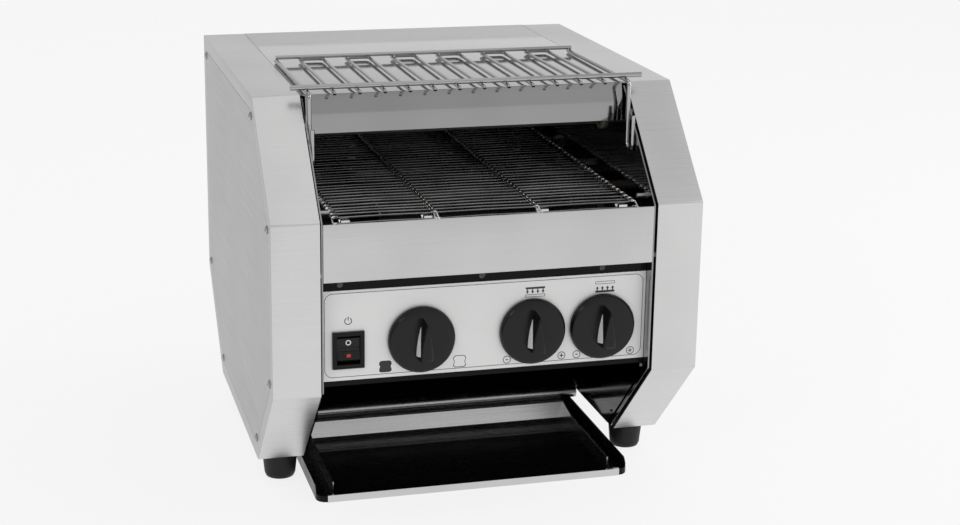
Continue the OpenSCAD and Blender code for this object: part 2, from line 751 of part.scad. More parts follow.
module drive_motor() placed() color("#4b4e52") translate([0, motor_y, motor_z]) difference() {
  union() {
    translate([wall_in - gearbox.x, 2 - gearbox.y / 2 - 4, -gearbox.z / 2]) cube(gearbox);
    bar(wall_in - gearbox.x - motor_len, wall_in - gearbox.x + 0.1, 0, 0, motor_d / 2);
    bar(wall_in - gearbox.x - motor_len - boss_len, wall_in - gearbox.x - motor_len + 0.1, 0, 0, boss_r);
  }
  bar(wall_in - shaft_in - 0.5, wall_in + 1, 0, 0, shaft_d / 2 + 0.04);
}

module motor_shaft() placed() color("#c8c9ca")
  bar(wall_in - shaft_in, chain_x + 6, motor_y, motor_z, shaft_d / 2);

module chain_sprocket(n, r, y, z) {
  placed() color("#606366") translate([chain_x, y, z])
    toothed(n, r - chain_t / 2 - seam, 1.4, -chain_w / 2 + 0.3, chain_w / 2 - 0.3, shaft_d / 2 + 0.02);
}

module motor_sprocket() chain_sprocket(motor_teeth, motor_r, motor_y, motor_z);
module shaft_sprocket() chain_sprocket(shaft_teeth, chain_r, front_shaft_y, shaft_z);

// Outline of a loop drawn tight round the two chain wheels, in Y and Z.
function tight_loop(grow) =
  let (low = [motor_y, motor_z], line = [front_shaft_y, shaft_z] - low,
       along = atan2(line.y, line.x), side = 90 + asin((chain_r - motor_r) / norm(line)))
  concat([for (i = [0:16]) low + (motor_r + grow) * dir(along + side + i * (360 - 2 * side) / 16)],
         [for (i = [0:24]) low + line + (chain_r + grow) * dir(along - side + i * 2 * side / 24)]);

function dir(a) = [cos(a), sin(a)];

module drive_chain() placed() color("#55585b")
  across(chain_x - chain_w / 2, chain_x + chain_w / 2) difference() {
    polygon(tight_loop(chain_t / 2));
    polygon(tight_loop(-chain_t / 2));
  }

module terminal_block() placed() color("#e8e4da")
  translate([-panel_half + 31, box_back - 70, box_bottom + sheet]) difference() {
    cube(terminals);
    for (i = [0:4]) translate([(i + 0.5) * terminals.x / 5, terminals.y / 2, 6])
      cylinder(h = terminals.z, r = 2.4);
  }

// ---- Toast exit ----

// Sheet behind the belt's rear end that turns falling toast down onto the chute.
module rear_guide() placed() color("#77797b") across(-panel_half, panel_half)
  polygon(ribbon([chute_end + [-1, 3], [case_d - 6, chute_end.y + 12],
                  [case_d - 6, upper_reflector_z - 12], [case_d - 18, upper_reflector_z + sheet],
                  [rear_shaft_y + 6 + seam, upper_reflector_z + sheet]], 1));

module chute_plate() placed() color("#1d1e1f")
  across(-panel_half + sheet, panel_half - sheet)
    polygon(ribbon([chute_end, chute_start + [nose_r * 0.2, 0]], sheet));

// Rolled tube along the chute's front edge.
module chute_nose() placed() color("#8f9193") difference() {
  bar(-panel_half + sheet, panel_half - sheet, nose_y, nose_z, nose_r);
  bar(-panel_half, panel_half, nose_y, nose_z, nose_r - sheet);
  across(-panel_half, panel_half) polygon(ribbon(
    [chute_end + [0, 0.1], chute_start + [nose_r * 0.2 - 0.1, 0.1]], sheet + 0.2));
}

function guide_points() =
  [[17.8, guide_top - guide_head], [chamfer - 1.7, 17.3], [box_back, box_bottom - 8]];

// Side plates of the exit, on the inner walls.
module toast_guides() placed() color("#6f7173") both_sides() {
  difference() {
    across(-wall_in, -wall_in + sheet) polygon(
      [[chamfer + 10 - guide_top, guide_top], [chamfer, 10], [chamfer + 7, wall_inset + 1],
       [nose_y - nose_r - 2, wall_inset + 1], [box_back + 10, guide_top]]);
    for (p = guide_points()) bar(-wall_in - 1, -wall_in + 3, p.x, p.y, screw_d / 2);
  }
  for (p = guide_points()) {
    bar(-wall_out - 1, -wall_in + sheet, p.x, p.y, screw_r);
    bar(-wall_in + sheet, -wall_in + sheet + 1.2, p.x, p.y, guide_head);
  }
}

// Polished slide under the chute's nose, with a wing along each side of the tray.
module toast_slide() placed() color("#c9cbcc") {
  across(-slide_half_w, slide_half_w) polygon(ribbon(
    [[nose_y + 8, slide_top], [nose_y - slide_set, slide_top],
     [nose_y - slide_set - 5.5, slide_top - 13.4], [nose_y - 39.5, tray_floor + tray_t]], tray_t));
  both_sides() across(-slide_half_w, -slide_half_w + tray_t)
    polygon([[tray_front + 12, tray_floor], [tray_front + 12, tray_bottom + tray_h + 1],
             [nose_y - 38, tray_bottom + tray_h + 1], [nose_y - slide_set, slide_top],
             [nose_y - slide_set, tray_floor]]);
}

// Flat tray with low walls and rounded front corners.
module crumb_tray() placed() color("#1a1b1c") difference() {
  union() {
    translate([0, 0, tray_bottom]) linear_extrude(5.5) polygon(tray_outline(0));
    both_sides() across(-tray_half_w, -tray_half_w + tray_t) polygon(
      [[tray_front + 8, tray_bottom], [tray_front + 8, tray_bottom + tray_h - 4],
       [tray_front + 12, tray_bottom + tray_h], [tray_back - tray_t, tray_bottom + tray_h],
       [tray_back - tray_t, tray_bottom]]);
    translate([-tray_half_w, tray_back - tray_t, tray_bottom]) cube([2 * tray_half_w, tray_t, tray_h]);
  }
  translate([0, 0, tray_floor]) linear_extrude(20) polygon(tray_outline(tray_t));
}

function tray_outline(t) =
  rounded([[-tray_half_w + t, tray_front + t], [tray_half_w - t, tray_front + t],
           [tray_half_w - t, tray_back - t], [-tray_half_w + t, tray_back - t]], 9 - t);

module tray_trim() placed() color("#c9cbcc")
  across(-tray_half_w + 9, tray_half_w - 9) polygon(
    ribbon([[tray_front, tray_bottom], [tray_front, tray_bottom + 5.5],
            [tray_front + tray_t + 1, tray_bottom + 5.5]], 0.8));

// ---- Bread rack ----

// Height at depth y of the tops of the wires that lie on the cover.
function rack_z(y) = case_h + rack_top + (rack_rear - y) * tan(rack_slope);

// Frame of the wires of diameter d: their middle at z = 0, rising slightly to the front.
module on_cover(d) {
  translate([0, rack_rear, case_h + rack_top - d / 2]) rotate([-rack_slope, 0, 0])
    translate([0, -rack_rear, 0]) children();
}

// Bend of a wire from angle a0 to a1, lying flat or standing in the Y-Z plane.
module flat_bend(x, y, r, a0, a1, d) {
  translate([x, y, 0]) rotate(a0) rotate_extrude(angle = a1 - a0) translate([r, 0]) circle(d = d);
}

module upright_bend(y, z, r, a0, a1, d) {
  translate([0, y, z]) rotate([90, 0, 90]) flat_bend(0, 0, r, a0, a1, d);
}

// Side wire: along the cover, over the front edge and down into a hook.
module side_wire() on_cover(rack_side_d) translate([-rack_half_w, 0, 0]) {
  bend_y = rack_front - 5;
  leg = bend_y - bend;
  low = hook_r - hook_drop;
  pin(0, bend_y, rack_rear, 0, rack_side_d / 2);
  upright_bend(bend_y, -bend, bend, 90, 180, rack_side_d);
  translate([0, leg, low]) cylinder(h = -bend - low, d = rack_side_d);
  upright_bend(leg - hook_r, low, hook_r, 180, 360, rack_side_d);
  translate([0, leg - 2 * hook_r, low]) cylinder(h = 24, d = rack_side_d);
}

// Wire loop: two legs joined at the back, with their tips turned down in front.
module wire_loop(x) on_cover(rack_wire_d) translate([x, 0, 0]) {
  tip = rack_front - 6;
  back = rack_rear + 1;
  for (leg = [0, rack_pitch]) translate([leg, 0, 0]) {
    pin(0, tip, back - bend, 0, rack_wire_d / 2);
    upright_bend(tip, -bend, bend, 90, 140, rack_wire_d);
  }
  flat_bend(bend, back - bend, bend, 90, 180, rack_wire_d);
  flat_bend(rack_pitch - bend, back - bend, bend, 0, 90, rack_wire_d);
  bar(bend, rack_pitch - bend, back, 0, rack_wire_d / 2);
}

// Cross wire lying on the other wires at depth y.
module cross_wire(y, half, d) {
  placed() color("#d0d1d2") bar(-half, half, y, rack_z(y) + d / 2 + weld_gap, d / 2);
}

module rack_side_wires() placed() color("#d0d1d2") both_sides() side_wire();

module rack_wire_loops() placed() color("#d0d1d2")
  for (i = [0:rack_loops - 1]) wire_loop((2 * i - rack_loops + 0.5) * rack_pitch);

module rack_rear_wire() cross_wire(rack_rear - 5, rack_half_w + 1, rack_side_d);
module rack_front_wire() cross_wire(rack_front, rack_front_half, rack_front_d);

// ---- Drawing ----

left_casing();
right_casing();
left_side_panel();
right_side_panel();
side_screws();
left_inner_wall();
right_inner_wall();
wall_spacers();
feet();
foot_screws();
top_cover();
rear_panel();
rear_lower_panel();
rear_screws();
cord_gland();
upper_front_panel();
control_box();
control_panel();
control_label();
panel_screws();
switch_body();
rocker();
speed_knob();
upper_heat_knob();
lower_heat_knob();
speed_spindle();
upper_heat_spindle();
lower_heat_spindle();
speed_control();
upper_heat_regulator();
lower_heat_regulator();
control_nuts();
front_shaft();
rear_shaft();
front_sprockets();
rear_sprockets();
shaft_bearings();
belt();
belt_rails();
belt_guide_studs();
upper_heaters();
lower_heaters();
heater_insulators();
upper_reflector();
lower_reflector();
drive_motor();
motor_shaft();
motor_sprocket();
shaft_sprocket();
drive_chain();
terminal_block();
rear_guide();
chute_plate();
chute_nose();
toast_guides();
toast_slide();
crumb_tray();
tray_trim();
rack_side_wires();
rack_wire_loops();
rack_rear_wire();
rack_front_wire();
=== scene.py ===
"""Looks of a counter-top conveyor toaster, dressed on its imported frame.

Points are given in millimetres in the maker's frame: X from the middle, Y back from the
front of the side casings, Z up from their underside. at() turns them into the frame's metres.
"""
import json
import math

import bmesh
import bpy
from mathutils import Matrix, Vector


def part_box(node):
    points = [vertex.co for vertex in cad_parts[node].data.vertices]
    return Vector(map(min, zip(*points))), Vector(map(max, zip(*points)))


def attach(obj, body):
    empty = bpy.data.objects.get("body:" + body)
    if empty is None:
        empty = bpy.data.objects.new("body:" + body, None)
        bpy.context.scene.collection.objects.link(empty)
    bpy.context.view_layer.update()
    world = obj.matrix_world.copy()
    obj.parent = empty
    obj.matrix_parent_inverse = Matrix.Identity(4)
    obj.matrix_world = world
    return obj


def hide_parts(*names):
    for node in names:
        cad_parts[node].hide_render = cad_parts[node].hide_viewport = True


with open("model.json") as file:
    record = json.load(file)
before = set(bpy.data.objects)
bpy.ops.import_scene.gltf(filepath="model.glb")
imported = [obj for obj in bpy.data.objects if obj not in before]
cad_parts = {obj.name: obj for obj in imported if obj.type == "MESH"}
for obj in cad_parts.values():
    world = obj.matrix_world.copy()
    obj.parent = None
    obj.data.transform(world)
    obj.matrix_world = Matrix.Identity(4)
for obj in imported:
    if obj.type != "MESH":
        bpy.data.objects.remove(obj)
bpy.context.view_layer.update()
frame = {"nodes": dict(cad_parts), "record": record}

MM = 0.001
CASING_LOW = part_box("left_casing")[0]
LABEL_Y = (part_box("control_label")[0][1] - CASING_LOW[1]) / MM
KNOB_RADIUS = (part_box("speed_knob")[1][0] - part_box("speed_knob")[0][0]) / MM / 2


def at(x, y, z):
    """A point of the maker's frame, in the frame's metres."""
    return Vector((x * MM, CASING_LOW[1] + y * MM, CASING_LOW[2] + z * MM))


def middle_of(node):
    """Middle of a node's box, in the maker's frame."""
    low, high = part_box(node)
    return Vector((
        (low[0] + high[0]) / 2 / MM,
        ((low[1] + high[1]) / 2 - CASING_LOW[1]) / MM,
        ((low[2] + high[2]) / 2 - CASING_LOW[2]) / MM,
    ))


def new_object(name, data):
    """A new object, linked to the scene."""
    obj = bpy.data.objects.new(name, data)
    bpy.context.scene.collection.objects.link(obj)
    return obj


# ---------------------------------------------------------------- materials

NOISE_SPAN = (0.3, 0.7)    # where nearly all the values of a noise lie
PAINTED_SHADE_SPAN = (0.3, 0.9)   # how squarely a face looks along an axis, from no painted shade to the full one
SHEET_RELIEF = 0.000012    # depth of brushing, in metres
POLISHED_RELIEF = 0.000006
WIRE_RELIEF = 0.000008
JOINT_HALF_WIDTH = 2.6     # the belt's wire has a painted highlight this far from each joint
EDGE_WIDTH = 4.0           # and this far in from each edge


def map_range(tree, value, source, target):
    """Spreads a value from the (low, high) of source over that of target."""
    spread = tree.nodes.new("ShaderNodeMapRange")
    for socket, number in zip(("From Min", "From Max", "To Min", "To Max"), (*source, *target)):
        spread.inputs[socket].default_value = number
    tree.links.new(value, spread.inputs["Value"])
    return spread.outputs["Result"]


def math_node(tree, operation, *operands, clamp=False):
    """The result of a Math node whose operands are sockets or numbers."""
    made = tree.nodes.new("ShaderNodeMath")
    made.operation = operation
    made.use_clamp = clamp
    for socket, operand in zip(made.inputs, operands):
        if isinstance(operand, bpy.types.NodeSocket):
            tree.links.new(operand, socket)
        else:
            socket.default_value = operand
    return made.outputs["Value"]


class Finish:
    """A material under construction: one Principled shader and the nodes that feed it."""

    def __init__(self, name, color, roughness, metallic=0.0, gloss=0.5):
        self.material = bpy.data.materials.new(name)
        self.material.use_nodes = True
        self.tree = self.material.node_tree
        self.shader = self.tree.nodes["Principled BSDF"]
        self.color = color
        for socket, value in (("Base Color", (*color, 1.0)), ("Roughness", roughness),
                              ("Metallic", metallic), ("Specular IOR Level", gloss)):
            self.shader.inputs[socket].default_value = value

    def node(self, kind, **values):
        """A new node, with each value set as its property or else on its input."""
        made = self.tree.nodes.new(kind)
        for key, value in values.items():
            if hasattr(made, key):
                setattr(made, key, value)
            else:
                made.inputs[key].default_value = value
        return made

    def join(self, source, target):
        """Links two sockets."""
        self.tree.links.new(source, target)

    def split(self, vector):
        """The node that splits a vector into X, Y and Z."""
        made = self.node("ShaderNodeSeparateXYZ")
        self.join(vector, made.inputs["Vector"])
        return made

    def noise(self, cells, detail):
        """Noise on Object coordinates; cells per metre are one number or one for each axis."""
        coordinates = self.node("ShaderNodeTexCoord")
        stretch = cells if isinstance(cells, tuple) else (cells,) * 3
        mapping = self.node("ShaderNodeMapping", Scale=stretch)
        noise = self.node("ShaderNodeTexNoise", Scale=1.0, Detail=detail, Roughness=0.6)
        self.join(coordinates.outputs["Object"], mapping.inputs["Vector"])
        self.join(mapping.outputs["Vector"], noise.inputs["Vector"])
        return noise.outputs["Fac"]

    def color_source(self):
        """The socket that feeds the shader's colour so far."""
        return self.shader.inputs["Base Color"].links[0].from_socket

    def vary_color(self, noise, dark, light):
        """Colours the surface between dark and light shares of its own colour."""
        mix = self.node("ShaderNodeMix", data_type="RGBA")
        mix.inputs["A"].default_value = (*[c * dark for c in self.color], 1.0)
        mix.inputs["B"].default_value = (*[min(1.0, c * light) for c in self.color], 1.0)
        self.join(map_range(self.tree, noise, NOISE_SPAN, (0.0, 1.0)), mix.inputs["Factor"])
        self.join(mix.outputs["Result"], self.shader.inputs["Base Color"])

    def paint_shade_facing(self, axis, share):
        """Painted shade: multiplies the colour by share where the surface faces along an axis, X or
        Y.
        """
        facing = self.node("ShaderNodeNewGeometry")
        along = math_node(self.tree, "ABSOLUTE", self.split(facing.outputs["Normal"]).outputs[axis])
        product = self.node("ShaderNodeVectorMath", operation="SCALE")
        self.join(self.color_source(), product.inputs[0])
        self.join(map_range(self.tree, along, PAINTED_SHADE_SPAN, (1.0, share)), product.inputs["Scale"])
        self.join(product.outputs["Vector"], self.shader.inputs["Base Color"])

    def vary_roughness(self, noise, low, high):
        """Spreads the roughness over low to high."""
        spread = map_range(self.tree, noise, NOISE_SPAN, (low, high))
        self.join(spread, self.shader.inputs["Roughness"])

    def bump(self, noise, height, strength):
        """Relief of the given height in metres."""
        bump = self.node("ShaderNodeBump", Strength=strength, Distance=height)
        self.join(noise, bump.inputs["Height"])
        self.join(bump.outputs["Normal"], self.shader.inputs["Normal"])


def brushed_steel(name, color, roughness, grain, relief=SHEET_RELIEF, darker=None):
    """Bare steel; grain is the cells per metre of its brushing, fewest along the way it runs.

    darker is an axis and the share of its colour that a face looking along that axis keeps: painted
    shade on the faces that look that way.
    """
    finish = Finish(name, color, roughness, metallic=1.0)
    lines = finish.noise(grain, detail=4.0)
    finish.vary_color(finish.noise(9.0, detail=2.0), 0.95, 1.04)
    # Painted shade on the faces that look along the given axis.
    if darker:
        finish.paint_shade_facing(*darker)
    finish.vary_roughness(lines, roughness * 0.85, roughness * 1.18)
    finish.bump(lines, relief, 0.2)
    return finish.material


def satin_plastic(name, color, roughness, grain=1400.0, gloss=0.3):
    """Plastic, rubber or paint with fine dimples and a little wear."""
    finish = Finish(name, color, roughness, gloss=gloss)
    wear = finish.noise(60.0, detail=4.0)
    finish.vary_color(wear, 0.85, 1.15)
    finish.vary_roughness(wear, roughness - 0.05, roughness + 0.07)
    finish.bump(finish.noise(grain, detail=2.0), 0.00004, 0.35)
    return finish.material


def smooth_enamel(name, color, roughness, gloss):
    """Baked enamel with smears and orange peel."""
    finish = Finish(name, color, roughness, gloss=gloss)
    smears = finish.noise((14.0, 40.0, 14.0), detail=4.0)
    finish.vary_roughness(smears, roughness - 0.04, roughness + 0.1)
    finish.bump(finish.noise(420.0, detail=2.0), 0.00002, 0.3)
    return finish.material


def printed_foil(name, color, roughness, metallic):
    """Pale metallic foil, as labels are printed on."""
    finish = Finish(name, color, roughness, metallic=metallic)
    finish.vary_color(finish.noise(12.0, detail=2.0), 0.98, 1.02)
    finish.vary_roughness(finish.noise(900.0, detail=2.0), roughness - 0.04, roughness + 0.05)
    return finish.material


def heat_marked(name, color, roughness, tint, metallic=1.0):
    """Metal darkened by heat in soft patches."""
    finish = Finish(name, color, roughness, metallic=metallic)
    patches = finish.noise((30.0, 22.0, 30.0), detail=5.0)
    finish.vary_color(patches, *tint)
    finish.vary_roughness(patches, roughness * 0.7, roughness * 1.5)
    finish.bump(finish.noise(700.0, detail=3.0), 0.00003, 0.3)
    return finish.material


def belt_steel(name, color, roughness, painted_highlight_color):
    """Wire darkened by heat, with a painted highlight at its joints and at its edge loops."""
    finish = Finish(name, color, roughness, metallic=1.0)
    tree = finish.tree
    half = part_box("belt")[1][0]
    place = finish.node("ShaderNodeTexCoord").outputs["Object"]
    across = math_node(tree, "ABSOLUTE", finish.split(place).outputs["X"])
    from_joint = math_node(tree, "ABSOLUTE", math_node(tree, "SUBTRACT", across, half / 3))
    joint = math_node(tree, "LESS_THAN", from_joint, JOINT_HALF_WIDTH * MM)
    edge = math_node(tree, "GREATER_THAN", across, half - EDGE_WIDTH * MM)
    patches = finish.noise((30.0, 22.0, 30.0), detail=5.0)
    finish.vary_color(patches, 0.6, 1.3)
    # Painted highlight: the joints and the edge loops take the highlight colour.
    mix = finish.node("ShaderNodeMix", data_type="RGBA")
    mix.inputs["B"].default_value = (*painted_highlight_color, 1.0)
    finish.join(finish.color_source(), mix.inputs["A"])
    finish.join(math_node(tree, "MAXIMUM", joint, edge), mix.inputs["Factor"])
    finish.join(mix.outputs["Result"], finish.shader.inputs["Base Color"])
    finish.vary_roughness(patches, roughness - 0.08, roughness + 0.1)
    return finish.material


def speckled(name, color, roughness, cells, detail, tint):
    """A plain coat whose colour varies a little."""
    finish = Finish(name, color, roughness)
    finish.vary_color(finish.noise(cells, detail=detail), *tint)
    return finish.material


def print_ink(name, color):
    """Printing ink."""
    return speckled(name, color, roughness=0.5, cells=800.0, detail=2.0, tint=(0.9, 1.1))


ALONG_X = (7.0, 1000.0, 1000.0)
ALONG_Y = (1000.0, 7.0, 1000.0)

# What makes each finish, then the values it takes after the name
RECIPES = {
    "brushed_steel": (brushed_steel, (0.6, 0.6, 0.598), 0.3, ALONG_X),
    "side_steel": (brushed_steel, (0.37, 0.37, 0.368), 0.34, ALONG_Y),
    # dark_steel: its dark grey colour is painted shade for the dark inside that these walls mirror;
    # its patches are heat marks
    "dark_steel": (heat_marked, (0.3, 0.3, 0.3), 0.09, (0.85, 1.1)),
    "polished_steel": (brushed_steel, (0.62, 0.62, 0.62), 0.13, ALONG_X, POLISHED_RELIEF),
    "screw_steel": (brushed_steel, (0.4, 0.4, 0.4), 0.3, 500.0),
    "rubber": (satin_plastic, (0.01, 0.01, 0.011), 0.5, 700.0),
    "black_enamel": (smooth_enamel, (0.003, 0.003, 0.0032), 0.24, 0.14),
    "label_print": (printed_foil, (0.84, 0.84, 0.835), 0.42, 0.35),
    "black_plastic": (satin_plastic, (0.006, 0.006, 0.006), 0.34, 1400.0, 0.2),
    "knob_plastic": (satin_plastic, (0.006, 0.006, 0.0062), 0.22),
    "shaft_steel": (brushed_steel, (0.6, 0.6, 0.6), 0.22, (700.0, 60.0, 60.0)),
    "sprocket_steel": (heat_marked, (0.62, 0.62, 0.62), 0.25, (0.8, 1.1)),
    "bronze": (heat_marked, (0.42, 0.28, 0.12), 0.35, (0.8, 1.1)),
    # the last colour is the painted highlight at the belt's joints and edge loops
    "belt_wire": (belt_steel, (0.24, 0.24, 0.24), 0.26, (0.75, 0.75, 0.74)),
    "heater_tube": (heat_marked, (0.13, 0.105, 0.09), 0.6, (0.7, 1.2), 0.3),
    "ceramic": (speckled, (0.3, 0.28, 0.24), 0.35, 200.0, 3.0, (0.94, 1.03)),
    "motor_paint": (satin_plastic, (0.05, 0.052, 0.056), 0.4, 500.0),
    # band_steel: painted shade, the casing faces that look sideways keep 0.58 of their colour
    "band_steel": (brushed_steel, (0.66, 0.66, 0.657), 0.3, ALONG_X, SHEET_RELIEF, ("X", 0.58)),
    # hood_steel: painted shade, the hood faces that look to the front or back keep 0.64 of their
    # colour
    "hood_steel": (brushed_steel, (0.5, 0.5, 0.498), 0.09, ALONG_X, POLISHED_RELIEF, ("Y", 0.64)),
    "drive_steel": (brushed_steel, (0.85, 0.85, 0.85), 0.2, 300.0, WIRE_RELIEF),
    "rack_chrome": (brushed_steel, (0.42, 0.42, 0.42), 0.1, 60.0, WIRE_RELIEF),
    "nose_steel": (heat_marked, (0.46, 0.46, 0.455), 0.26, (0.9, 1.05)),
    "slide_steel": (brushed_steel, (0.58, 0.58, 0.58), 0.27, ALONG_X, POLISHED_RELIEF),
    "black_screw": (brushed_steel, (0.1, 0.1, 0.1), 0.3, 500.0),
    "white_ink": (print_ink, (0.92, 0.92, 0.91)),
    "black_ink": (print_ink, (0.025, 0.025, 0.026)),
    "red_lens": (print_ink, (0.6, 0.05, 0.025)),
}
FINISHES = {name: make(name, *values) for name, (make, *values) in RECIPES.items()}

SLOTS = {part["node"]: part["material_slot"] for part in frame["record"]["subparts"]}
NODE_FINISHES = {
    "chute_nose": "nose_steel",
    "front_sprockets": "drive_steel",
    "toast_slide": "slide_steel",
    "panel_screws": "black_screw",
    "rack_side_wires": "rack_chrome",
    "rack_wire_loops": "rack_chrome",
    "rack_rear_wire": "rack_chrome",
    "rack_front_wire": "rack_chrome",
}


def dress_nodes():
    """Gives each CAD node a finish of its own, or else that of its slot."""
    for node, obj in frame["nodes"].items():
        obj.data.materials.clear()
        obj.data.materials.append(FINISHES[NODE_FINISHES.get(node, SLOTS[node])])


# ---------------------------------------------------------------- pieces

SMOOTH_DEGREES = 35.0   # edges that bend less than this are shaded smooth


def add_piece(name, mesh, finish, body="cabinet", replaces=()):
    """Puts a finished mesh in the scene as one piece that rides on a body."""
    mesh.materials.clear()
    mesh.materials.append(FINISHES[finish])
    obj = new_object(name, mesh)
    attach(obj, body)
    if replaces:
        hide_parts(*replaces)


def finish_bmesh(bm, name, smooth_degrees=SMOOTH_DEGREES):
    """Turns a bmesh into a mesh, shaded smooth up to an angle."""
    bm.normal_update()
    for face in bm.faces:
        face.smooth = True
    for edge in bm.edges:
        bend = edge.calc_face_angle(math.pi) if edge.is_manifold else math.pi
        edge.smooth = bend < math.radians(smooth_degrees)
    mesh = bpy.data.meshes.new(name)
    bm.to_mesh(mesh)
    bm.free()
    return mesh


def make_flat_solid(bm, outline, holes, place, depth):
    """A thin plate of a 2D outline with holes, set by place(u, v, d) with d from 0 to depth."""
    edges = []
    for loop in (outline, *holes):
        verts = [bm.verts.new(place(u, v, 0.0)) for u, v in loop]
        edges += [bm.edges.new((verts[i], verts[(i + 1) % len(verts)])) for i in range(len(verts))]
    filled = bmesh.ops.triangle_fill(bm, use_beauty=True, use_dissolve=False, edges=edges)
    faces = [g for g in filled["geom"] if isinstance(g, bmesh.types.BMFace)]
    raised = bmesh.ops.extrude_face_region(bm, geom=faces)
    shift = place(0.0, 0.0, depth) - place(0.0, 0.0, 0.0)
    verts = [g for g in raised["geom"] if isinstance(g, bmesh.types.BMVert)]
    bmesh.ops.translate(bm, vec=shift, verts=verts)


def circle_points(x, z, radius, count=28, start=0.0, sweep=360.0):
    """Points of a circle, or of an arc from start over sweep degrees with both its ends."""
    steps = count if sweep >= 360.0 else count + 1
    return [
        (x + radius * math.cos(math.radians(start + sweep * i / count)),
         z + radius * math.sin(math.radians(start + sweep * i / count)))
        for i in range(steps)
    ]


# ---------------------------------------------------------------- formed sheets

WELD = 0.00001          # metres between vertices that are one
FLAT_DEGREES = 0.5      # faces that bend less than this are one
SHARP_BEND = 0.5        # radians
OUTER_SIDE = -CASING_LOW[0]   # metres from the middle to either casing's outer side
ON_SIDE = 0.00002       # metres off that side at most
BAND_FACING = 0.5       # a band's normal has less than this of X
BAND_AREA = 0.0002      # least area of a casing's band, in square metres
SHORTEST_EDGE = 0.0005  # metres
LONG_FOLD = 0.15        # metres
CASING_RADIUS, COVER_RADIUS, PANEL_RADIUS = 1.6, 1.0, 0.8


def formed_sheet(node, finish, chosen, radius):
    """A folded CAD sheet again, with a bend radius on the sharp edges that chosen() picks."""
    bm = bmesh.new()
    bm.from_mesh(frame["nodes"][node].data)
    bmesh.ops.remove_doubles(bm, verts=bm.verts, dist=WELD)
    bmesh.ops.dissolve_limit(bm, angle_limit=math.radians(FLAT_DEGREES), verts=bm.verts,
                             edges=bm.edges)
    edges = [e for e in bm.edges
             if e.is_manifold and e.calc_face_angle(0.0) > SHARP_BEND and chosen(e)]
    bmesh.ops.bevel(bm, geom=edges, offset=radius * MM, segments=3, profile=0.5,
                    affect="EDGES", clamp_overlap=True)
    bmesh.ops.recalc_face_normals(bm, faces=bm.faces)
    add_piece(f"{node}_formed", finish_bmesh(bm, node), finish,
              replaces=(node,))


def on_outer_corner(edge):
    """Whether an edge lies between a casing's outer side and a band folded round it."""
    if any(abs(abs(vert.co.x) - OUTER_SIDE) >= ON_SIDE for vert in edge.verts):
        return False
    band = min(edge.link_faces, key=lambda face: abs(face.normal.x))
    return (abs(band.normal.x) < BAND_FACING and band.calc_area() > BAND_AREA
            and edge.calc_length() > SHORTEST_EDGE)


def on_long_fold(edge):
    """Whether an edge runs across most of the machine."""
    return abs(edge.verts[0].co.x - edge.verts[1].co.x) > LONG_FOLD


# ---------------------------------------------------------------- belt

SHAFT_Z = middle_of("front_shaft").z
FRONT_SHAFT_Y = middle_of("front_shaft").y
REAR_SHAFT_Y = middle_of("rear_shaft").y
BELT_LOW, BELT_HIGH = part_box("belt")
BELT_HALF = BELT_HIGH[0] / MM
STRAND_D = 1.8
BELT_RADIUS = (BELT_HIGH[2] - BELT_LOW[2]) / MM / 2 - STRAND_D / 2
BELT_SPAN = REAR_SHAFT_Y - FRONT_SHAFT_Y
BELT_HALF_TURN = math.pi * BELT_RADIUS
BELT_STRANDS = 77
HOOK_REACH = 1.03       # share of the step from one strand to the next
HOOK_LIFT = 0.9         # a hook's end lies this far outside its strand
STRAND_BOW = 1.1        # a strand's middles lie this far towards the next strand
STRAND_JITTER = 0.004   # radians that a strand may be turned about each axis
JITTER_SEED = 7


def belt_point(share):
    """The belt's loop as (Y, Z); share runs from 0 at the front shaft's top, once round to 1."""
    along = share % 1.0 * 2 * (BELT_SPAN + BELT_HALF_TURN)
    if along < BELT_SPAN:
        return FRONT_SHAFT_Y + along, SHAFT_Z + BELT_RADIUS
    if along < BELT_SPAN + BELT_HALF_TURN:
        centre, angle = REAR_SHAFT_Y, math.pi / 2 - (along - BELT_SPAN) / BELT_RADIUS
    elif along < 2 * BELT_SPAN + BELT_HALF_TURN:
        return REAR_SHAFT_Y - (along - BELT_SPAN - BELT_HALF_TURN), SHAFT_Z - BELT_RADIUS
    else:
        past = along - 2 * BELT_SPAN - BELT_HALF_TURN
        centre, angle = FRONT_SHAFT_Y, 3 * math.pi / 2 - past / BELT_RADIUS
    return centre + BELT_RADIUS * math.cos(angle), SHAFT_Z + BELT_RADIUS * math.sin(angle)


def belt_stations():
    """One (point in metres, turn) for each strand, which lies along the chord to the next one."""
    for i in range(BELT_STRANDS):
        y, z = belt_point(i / BELT_STRANDS)
        next_y, next_z = belt_point((i + 1) / BELT_STRANDS)
        yield at(0.0, y, z), (math.atan2(next_z - z, next_y - y), 0.0, 0.0)


def strand_path(step):
    """One belt wire: straight across, hooked over its neighbour at both joints and both edges.

    A point is (across, towards the next strand, outwards), in millimetres.
    """
    reach, lift = HOOK_REACH * step, HOOK_LIFT
    joint = BELT_HALF / 3
    edge = BELT_HALF - STRAND_D / 2
    right = [(edge - 9.0, 0.0, 0.0), (edge - 1.6, 0.0, 0.0), (edge, 1.6, 0.1),
             (edge, reach - 1.6, lift), (edge - 1.6, reach, lift), (edge - 5.2, reach, lift),
             (edge - 6.0, reach - 1.4, 0.2)]
    half_hook = [(2.8, 0.0, 0.0), (1.6, 0.8, 0.1), (1.4, 2.4, 0.3), (1.3, reach - 1.2, lift),
                 (0.6, reach, lift)]
    hook = [(-x, t, n) for x, t, n in half_hook] + half_hook[::-1]
    path = [(-x, t, n) for x, t, n in reversed(right)]
    for centre in (-joint, joint):
        path.append((centre - joint, STRAND_BOW, 0.0))
        path += [(centre + x, t, n) for x, t, n in hook]
    return path + [(2 * joint, STRAND_BOW, 0.0)] + right


